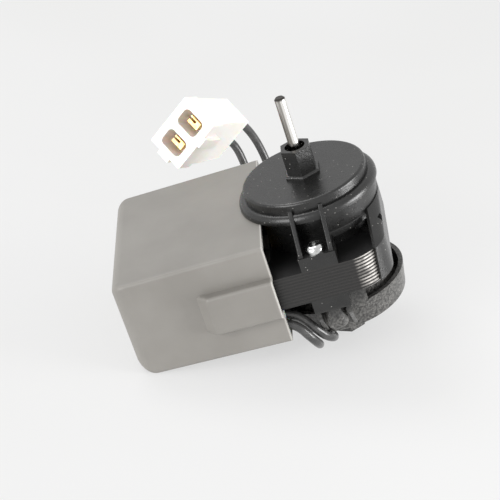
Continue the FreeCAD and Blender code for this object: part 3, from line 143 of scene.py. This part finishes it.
LEAD_DIAMETER = 0.0026
LEAD_ROUTES = {
    "lead_1": [
        (-31.0, -21.9, -30.4),
        (-23.4, -21.9, -30.4),
        (-12.2, -21.7, -31.2),
        (-6.5, -22.5, -40.9),
        (-3.7, -17.7, -45.9),
        (-5.8, -6.5, -50.4),
        (-9.2, 6.5, -49.9),
        (-10.8, 22.0, -49.5),
        (-12.6, 38.0, -48.7),
        (-15.0, 53.0, -46.2),
        (-16.4, 63.6, -37.8),
        (-16.6, 68.4, -27.0),
        (-18.2, 68.0, -16.4),
        (-21.28, 64.04, -7.62),
        (-23.62, 58.76, -4.64),
    ],
    "lead_2": [
        (-31.0, -24.5, -31.8),
        (-23.0, -24.5, -31.8),
        (-13.3, -24.8, -32.5),
        (-8.6, -25.1, -41.1),
        (-8.4, -17.2, -47.4),
        (-14.5, -7.0, -46.0),
        (-14.8, 4.0, -48.1),
        (-16.2, 19.5, -47.7),
        (-18.8, 35.5, -46.6),
        (-21.0, 50.0, -43.6),
        (-22.6, 61.0, -37.0),
        (-23.6, 67.4, -28.0),
        (-24.6, 68.6, -19.0),
        (-27.2, 65.78, -13.52),
        (-30.26, 58.88, -9.62),
    ],
}


def lead_curve(name, route):
    """A smooth round tube along the route: one open spline of third order that ends on its ends."""
    data = bpy.data.curves.new(name, "CURVE")
    data.dimensions = "3D"
    data.bevel_depth = LEAD_DIAMETER / 2
    data.bevel_resolution = 6
    data.use_fill_caps = True
    spline = data.splines.new("NURBS")
    spline.points.add(len(route) - 1)
    for point, spot in zip(spline.points, route):
        point.co = [value * MM for value in spot] + [1.0]
    spline.order_u = 3
    spline.use_endpoint_u = True
    spline.resolution_u = 24
    piece = bpy.data.objects.new(name, data)
    bpy.context.scene.collection.objects.link(piece)
    return piece


black_vinyl = vinyl()
for node_name, route in LEAD_ROUTES.items():
    lead = lead_curve(node_name + "_insulation", route)
    lead.data.materials.append(black_vinyl)
    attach(lead, "motor_frame")
    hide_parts(node_name)


# Plug.
# A two-way housing moulded in natural nylon, milky and slightly warm where it is thick, with a
# forked brass contact locked in each pocket. The coil's bobbin is of the same nylon.
def nylon():
    """Injection moulded natural nylon: milky white, a soft gloss and faint flow marks."""
    material, tree, shader, place = start_material("moulded_natural_nylon")
    flow = noise(tree, place, 9.0)
    tint = ramp(tree, flow, [(0.3, linear("#faf6ec")), (0.75, linear("#fefcf7"))])
    tree.links.new(tint, shader.inputs["Base Color"])
    set_shader(shader, Roughness=0.38, IOR=1.53, Subsurface_Weight=0.35, Subsurface_Scale=0.003)
    bump(tree, shader, noise(tree, place, 1.2), 0.00002)
    return material


def brass():
    """Stamped brass strip with a thin tin flash: pale yellow metal with fine rolling lines."""
    material, tree, shader, place = start_material("stamped_brass")
    lines = noise(tree, place, 0.8, stretch=(1, 1, 0.1))
    tint = ramp(tree, lines, [(0.3, linear("#cfa765")), (0.8, linear("#e9cb94"))])
    tree.links.new(tint, shader.inputs["Base Color"])
    set_shader(shader, Metallic=1.0, Roughness=0.3)
    bump(tree, shader, lines, 0.00002)
    return material


def dress(material, *names):
    """Gives carried-over nodes their material."""
    for name in names:
        slots = nodes[name].data.materials
        slots.clear()
        slots.append(material)


natural_nylon = nylon()
stamped_brass = brass()
dress(natural_nylon, "plug_housing", "coil_bobbin")
dress(stamped_brass, "plug_contacts", "winding_terminals")


# Coil.
# Enamelled copper wire wound on the nylon bobbin and wrapped in amber polyester tape.
WIRE_SPACING_MM = 0.25
WAVE_BANDS_PER_UNIT = 20.0


def enamel_wire():
    """Wound magnet wire: rows of turns a quarter of a millimetre apart under amber enamel."""
    material, tree, shader, place = start_material("enamelled_magnet_wire")
    rows = add(tree, "ShaderNodeTexWave", {"Vector": place}, wave_type="BANDS", bands_direction="Y",
               Scale=1000.0 / WIRE_SPACING_MM / WAVE_BANDS_PER_UNIT, Distortion=0.6)
    tint = ramp(tree, rows.outputs["Fac"], [(0.1, linear("#3d1c0c")), (0.8, linear("#a65f2c"))])
    tree.links.new(tint, shader.inputs["Base Color"])
    set_shader(shader, Metallic=0.6, Roughness=0.3)
    bump(tree, shader, rows.outputs["Fac"], 0.0001)
    return material


def tape():
    """Polyester tape: thin glossy amber film with creases across it."""
    material, tree, shader, place = start_material("amber_polyester_tape")
    creases = noise(tree, place, 3.0, stretch=(1, 0.3, 1))
    tint = ramp(tree, creases, [(0.3, linear("#b08b2e")), (0.7, linear("#c9a548"))])
    tree.links.new(tint, shader.inputs["Base Color"])
    set_shader(shader, Roughness=0.25, IOR=1.57)
    bump(tree, shader, creases, 0.0001)
    return material


dress(enamel_wire(), "coil_winding")
dress(tape(), "coil_tape")


# Stator.
# Half-millimetre laminations of electrical steel, stamped, stacked and dipped in black lacquer.
# Around the rounded nose, their ridges that face the right carry a painted highlight of bright steel.
GROOVES_DRAWN_MM = 1.0
GROOVE_DRIFT = 0.3


def lacquered_laminations():
    """Stack edges: grooves between laminations, and a painted highlight of bright steel on the ridges that
    face the right, round the nose.

    The real grooves are half a millimetre apart, too fine to show, so every second one is drawn.
    The flat faces above and below are black lacquer, painted darker than the sides as painted shade.
    """
    material, tree, shader, place = start_material("lacquered_laminations")
    apart = add(tree, "ShaderNodeSeparateXYZ", {"Vector": place})
    wobble = noise(tree, place, 9.0)
    drift = add(tree, "ShaderNodeMath", {0: wobble}, operation="MULTIPLY")
    drift.inputs[1].default_value = GROOVE_DRIFT
    level = add(tree, "ShaderNodeMath", {0: apart.outputs["Z"]}, operation="MULTIPLY")
    level.inputs[1].default_value = 1000.0 / GROOVES_DRAWN_MM
    shifted = add(tree, "ShaderNodeMath", {0: level.outputs[0], 1: drift.outputs[0]}, operation="ADD")
    wave = add(tree, "ShaderNodeMath", {0: shifted.outputs[0]}, operation="PINGPONG")
    wave.inputs[1].default_value = 0.5
    groove = add(tree, "ShaderNodeMath", {0: wave.outputs[0]}, operation="SMOOTH_MIN")
    groove.inputs[1].default_value = 0.22
    groove.inputs[2].default_value = 0.1
    facing = tree.nodes.new("ShaderNodeNewGeometry")
    across = add(tree, "ShaderNodeSeparateXYZ", {"Vector": facing.outputs["Normal"]})
    # Ridges whose faces turn to the right, round the nose, get a painted highlight of bright steel,
    # #dcd7d1.
    nose = add(tree, "ShaderNodeMapRange", {"Value": across.outputs["X"]}, From_Min=0.1, From_Max=0.45)
    flat = add(tree, "ShaderNodeMath", {0: across.outputs["Z"]}, operation="ABSOLUTE")
    edge = add(tree, "ShaderNodeMath", {0: flat.outputs[0]}, operation="LESS_THAN")
    edge.inputs[1].default_value = 0.5
    patch = ramp(tree, noise(tree, place, 2.5), [(0.35, linear("#8f8f8f")), (0.6, linear("#ffffff"))])
    painted_nose_glint = add(tree, "ShaderNodeMath", {0: nose.outputs[0], 1: patch}, operation="MULTIPLY")
    ridge = add(tree, "ShaderNodeMapRange", {"Value": wave.outputs[0]}, From_Min=0.14, From_Max=0.4)
    bare = add(tree, "ShaderNodeMath", {0: painted_nose_glint.outputs[0], 1: ridge.outputs[0]}, operation="MULTIPLY")
    lacquer = ramp(tree, ridge.outputs[0], [(0.0, linear("#141413")), (1.0, linear("#262423"))])
    colour = add(tree, "ShaderNodeMix", {"Factor": bare.outputs[0], "A": lacquer}, data_type="RGBA")
    colour.inputs["B"].default_value = linear("#dcd7d1")
    # Faces that look up or down get the near-black #0c0c0c: painted shade on the stack's top and bottom.
    painted_shade_on_flats = add(tree, "ShaderNodeMix", {"Factor": edge.outputs[0], "B": colour.outputs["Result"]},
                data_type="RGBA")
    painted_shade_on_flats.inputs["A"].default_value = linear("#0c0c0c")
    tree.links.new(painted_shade_on_flats.outputs["Result"], shader.inputs["Base Color"])
    set_shader(shader, Roughness=0.45, IOR=1.5)
    bump(tree, shader, groove.outputs[0], 0.0003)
    return material


def copper():
    """Drawn copper bar: reddish metal, dulled by the lacquer dip."""
    material, tree, shader, place = start_material("drawn_copper_bar")
    dull = noise(tree, place, 1.5)
    tint = ramp(tree, dull, [(0.3, linear("#6d3b22")), (0.8, linear("#b87350"))])
    tree.links.new(tint, shader.inputs["Base Color"])
    set_shader(shader, Metallic=1.0, Roughness=0.4)
    bump(tree, shader, dull, 0.00005)
    return material


laminations = lacquered_laminations()
dress(laminations, "stator_stack", "coil_core_bar")
dress(copper(), "shading_rings")


# Rotor, bearings and screws.
# The shaft is drawn and polished steel, the rotor is turned steel with die-cast aluminium rings,
# and the bearings are sintered bronze in oiled felt, held by stamped steel retainers.
SHAFT_TIP_FROM = 0.0237
SHAFT_TIP_TO = 0.0242


def metal(name, dark, light, roughness, grain_mm, stretch, depth):
    """A bare or plated metal with grain of a real size along one axis."""
    material, tree, shader, place = start_material(name)
    grain = noise(tree, place, grain_mm, stretch=stretch)
    tint = ramp(tree, grain, [(0.3, linear(dark)), (0.75, linear(light))])
    tree.links.new(tint, shader.inputs["Base Color"])
    set_shader(shader, Metallic=1.0, Roughness=roughness)
    bump(tree, shader, grain, depth)
    return material


def shaft_steel():
    """Drawn and polished steel: bright, with dark and bright lines along it that are partly drawing marks
    and partly painted reflections, and darker over its tip.
    """
    material, tree, shader, place = start_material("polished_shaft_steel")
    # The dark and bright lines along the shaft are partly drawing marks and partly painted reflections of
    # the surroundings.
    drawn_marks_and_painted_reflections = noise(tree, place, 1.1, stretch=(1, 1, 0.02))
    tint = ramp(tree, drawn_marks_and_painted_reflections, [(0.4, linear("#8b8781")), (0.55, linear("#f1efeb"))])
    apart = add(tree, "ShaderNodeSeparateXYZ", {"Vector": place})
    tip = add(tree, "ShaderNodeMapRange", {"Value": apart.outputs["Z"]}, From_Min=SHAFT_TIP_FROM,
              From_Max=SHAFT_TIP_TO)
    colour = add(tree, "ShaderNodeMix", {"Factor": tip.outputs[0], "A": tint}, data_type="RGBA")
    colour.inputs["B"].default_value = linear("#4b4845")
    tree.links.new(colour.outputs["Result"], shader.inputs["Base Color"])
    set_shader(shader, Metallic=1.0, Roughness=0.16)
    bump(tree, shader, drawn_marks_and_painted_reflections, 0.00001)
    return material


def felt():
    """Pressed wool felt, darkened by oil."""
    material, tree, shader, place = start_material("oiled_wool_felt")
    fibres = noise(tree, place, 0.4, detail=6.0)
    tint = ramp(tree, fibres, [(0.3, linear("#8f8463")), (0.7, linear("#b8ad8a"))])
    tree.links.new(tint, shader.inputs["Base Color"])
    set_shader(shader, Roughness=0.95, Sheen_Weight=0.3)
    bump(tree, shader, fibres, 0.0002)
    return material


turned_steel = metal("turned_steel", "#85847f", "#aeaca6", 0.32, 0.4, (0.4, 0.4, 2.5), 0.00001)
zinc = metal("bright_zinc_plate", "#bfc0bf", "#e4e5e4", 0.16, 1.2, (1, 1, 1), 0.00002)
cast_aluminium = metal("cast_aluminium", "#9d9ea0", "#c9cacb", 0.45, 0.8, (1, 1, 1), 0.00005)
bronze = metal("sintered_bronze", "#7a5630", "#a98251", 0.5, 0.25, (1, 1, 1), 0.00003)
dress(shaft_steel(), "rotor_shaft")
dress(turned_steel, "rotor_core")
dress(cast_aluminium, "rotor_cage")
dress(zinc, "bell_screws", "front_bearing_retainer", "rear_bearing_retainer")
dress(bronze, "front_bearing", "rear_bearing", "front_thrust_washer", "rear_thrust_washer")
dress(felt(), "front_oil_felt", "rear_oil_felt")


# End bells.
# Two mouldings in black glass-filled polyester. The surface is satin with a slight orange peel,
# duller where the fibres show, and carries a little dust.
FROST_FROM = -0.030
FROST_FULL = -0.036


def black_moulding():
    """Glass-filled polyester: black satin skin, fine fibre grain and specks of dust.

    Lower than z -30 mm, over the rear bell, the black turns to a pale grey grain.
    """
    material, tree, shader, place = start_material("black_glass_filled_polyester")
    cloud = noise(tree, place, 5.0, detail=4.0)
    tint = ramp(tree, cloud, [(0.3, linear("#131313")), (0.75, linear("#1f1f1e"))])
    apart = add(tree, "ShaderNodeSeparateXYZ", {"Vector": place})
    rear = add(tree, "ShaderNodeMapRange", {"Value": apart.outputs["Z"]}, From_Min=FROST_FROM,
               From_Max=FROST_FULL)
    frost_grain = noise(tree, place, 0.7, detail=5.0, roughness=0.6)
    frost = ramp(tree, frost_grain, [(0.38, linear("#3a3a3a")), (0.68, linear("#b4b4b4"))])
    frosted = add(tree, "ShaderNodeMath", {0: frost, 1: rear.outputs[0]}, operation="MULTIPLY")
    specks = add(tree, "ShaderNodeTexVoronoi", {"Vector": place}, Scale=1000.0 / 1.6)
    dust = ramp(tree, specks.outputs["Distance"], [(0.06, linear("#ffffff")), (0.1, linear("#000000"))])
    pale = add(tree, "ShaderNodeMath", {0: dust, 1: frosted.outputs[0]}, operation="MAXIMUM")
    colour = add(tree, "ShaderNodeMix", {"Factor": pale.outputs[0], "A": tint}, data_type="RGBA")
    colour.inputs["B"].default_value = linear("#a19f9b")
    tree.links.new(colour.outputs["Result"], shader.inputs["Base Color"])
    gloss = add(tree, "ShaderNodeMapRange", {"Value": noise(tree, place, 1.6, detail=5.0)}, To_Min=0.2,
                To_Max=0.38)
    tree.links.new(gloss.outputs[0], shader.inputs["Roughness"])
    set_shader(shader, IOR=1.55)
    bump(tree, shader, noise(tree, place, 0.5, detail=4.0), 0.00005)
    return material


black_polyester = black_moulding()
dress(black_polyester, "front_bell", "rear_bell", "front_spacer_sleeve", "rear_spacer_sleeve")


# Coil cover.
# One box moulded in grey nylon, pushed over the coil from behind. Its skin is satin and even,
# with faint clouding where the melt flowed.
COVER_EDGE_FROM = -0.0152
COVER_EDGE_FULL = -0.0149
COVER_EDGE_HIGHLIGHT_SHARE = 0.6


def grey_moulding():
    """Grey nylon: satin skin, faint clouds and fine scuffs, and a painted highlight along its open edge.
    """
    material, tree, shader, place = start_material("moulded_grey_nylon")
    cloud = noise(tree, place, 22.0, detail=4.0)
    tint = ramp(tree, cloud, [(0.3, linear("#827f7a")), (0.7, linear("#8e8b86"))])
    apart = add(tree, "ShaderNodeSeparateXYZ", {"Vector": place})
    # The last few millimetres before the open edge are painted pale #d0cec8: a painted highlight where the
    # wall's edge catches the light.
    painted_edge_highlight = add(tree, "ShaderNodeMapRange", {"Value": apart.outputs["X"]}, From_Min=COVER_EDGE_FROM,
              From_Max=COVER_EDGE_FULL, To_Max=COVER_EDGE_HIGHLIGHT_SHARE)
    colour = add(tree, "ShaderNodeMix", {"Factor": painted_edge_highlight.outputs[0], "A": tint}, data_type="RGBA")
    colour.inputs["B"].default_value = linear("#d0cec8")
    tree.links.new(colour.outputs["Result"], shader.inputs["Base Color"])
    set_shader(shader, Roughness=0.42, IOR=1.53)
    scuff = noise(tree, place, 0.9, detail=5.0, stretch=(1, 0.5, 0.5))
    bump(tree, shader, scuff, 0.00002)
    return material


grey_nylon = grey_moulding()
dress(grey_nylon, "coil_cover")


# Table and light.
# A white paper sheet under soft studio light. It shows almost white to the camera and in
# reflections, and keeps the motor's shadow.
FLOOR_NORMAL = Vector((0.3059, 0.0, 0.9521)).normalized()
FLOOR_DROP = 0.05186
FLOOR_HALF = 4.0
FLOOR_GLOW_SHARE = 0.66
SKY_LIGHT = 0.6
SKY_SEEN = 0.9


def seen_directly(tree):
    """One for rays that come from the camera, a reflection or through something clear."""
    path = tree.nodes.new("ShaderNodeLightPath")
    mirrored = add(tree, "ShaderNodeMath", {0: path.outputs["Is Camera Ray"],
                                            1: path.outputs["Is Glossy Ray"]}, operation="MAXIMUM")
    either = add(tree, "ShaderNodeMath", {0: mirrored.outputs[0],
                                          1: path.outputs["Is Transmission Ray"]}, operation="MAXIMUM")
    return either.outputs[0]


def white_table():
    """White paper with faint cockles, seen only from above, that keeps a soft shadow."""
    material, tree, shader, place = start_material("white_paper_sheet")
    set_shader(shader, Roughness=0.9, Specular_IOR_Level=0.1)
    cockles = noise(tree, place, 160.0, detail=2.0)
    paper = ramp(tree, cockles, [(0.3, linear("#ededec")), (0.7, linear("#f2f2f2"))])
    shader.inputs["Base Color"].default_value = linear("#e6e6e6")
    output = [node for node in tree.nodes if node.type == "OUTPUT_MATERIAL"][0]
    glow = add(tree, "ShaderNodeEmission", {"Color": paper}, Strength=1.0)
    look = add(tree, "ShaderNodeMixShader", {1: shader.outputs[0], 2: glow.outputs[0]})
    look.inputs[0].default_value = FLOOR_GLOW_SHARE
    shown = add(tree, "ShaderNodeMixShader", {0: seen_directly(tree), 1: shader.outputs[0],
                                              2: look.outputs[0]})
    face = tree.nodes.new("ShaderNodeNewGeometry")
    clear = tree.nodes.new("ShaderNodeBsdfTransparent")
    mix = add(tree, "ShaderNodeMixShader", {0: face.outputs["Backfacing"], 1: shown.outputs[0],
                                            2: clear.outputs[0]})
    tree.links.new(mix.outputs[0], output.inputs[0])
    return material


side = FLOOR_NORMAL.cross(Vector((0, 1, 0))).normalized()
along = FLOOR_NORMAL.cross(side)
centre = FLOOR_NORMAL * -FLOOR_DROP
corners = [centre + (side * a + along * b) * FLOOR_HALF for a, b in ((-1, -1), (1, -1), (1, 1), (-1, 1))]
table_mesh = bpy.data.meshes.new("table")
table_mesh.from_pydata(corners, [], [(0, 1, 2, 3)])
if table_mesh.polygons[0].normal.dot(FLOOR_NORMAL) < 0:
    table_mesh.flip_normals()
table = bpy.data.objects.new("table", table_mesh)
bpy.context.scene.collection.objects.link(table)
table_mesh.materials.append(white_table())


def area_lamp(name, spot, aim, size_m, watts):
    """A square soft lamp at a spot, turned to face a point: its side in metres, its power in watts."""
    data = bpy.data.lights.new(name, "AREA")
    data.size = size_m
    data.energy = watts
    lamp = bpy.data.objects.new(name, data)
    way = Vector(aim) - Vector(spot)
    turned = way.to_track_quat("-Z", "Y").to_matrix().to_4x4()
    lamp.matrix_world = Matrix.Translation(Vector(spot)) @ turned
    bpy.context.scene.collection.objects.link(lamp)


area_lamp("overhead", (-0.25, 0.5, 1.1), (0, 0, 0), 0.6, 4.6)
area_lamp("front_left", (-0.75, -0.85, 0.6), (0, 0, -0.02), 0.9, 13.5)
area_lamp("right_wall", (0.345, -0.1, -0.08), (0, 0, -0.03), 0.2, 1.4)

world = bpy.data.worlds.new("studio")
world.use_nodes = True
sky = world.node_tree
backdrop = sky.nodes["Background"]
backdrop.inputs["Color"].default_value = (1.0, 1.0, 1.0, 1.0)
strength = add(sky, "ShaderNodeMapRange", {"Value": seen_directly(sky)}, To_Min=SKY_LIGHT, To_Max=SKY_SEEN)
sky.links.new(strength.outputs[0], backdrop.inputs["Strength"])
bpy.context.scene.world = world
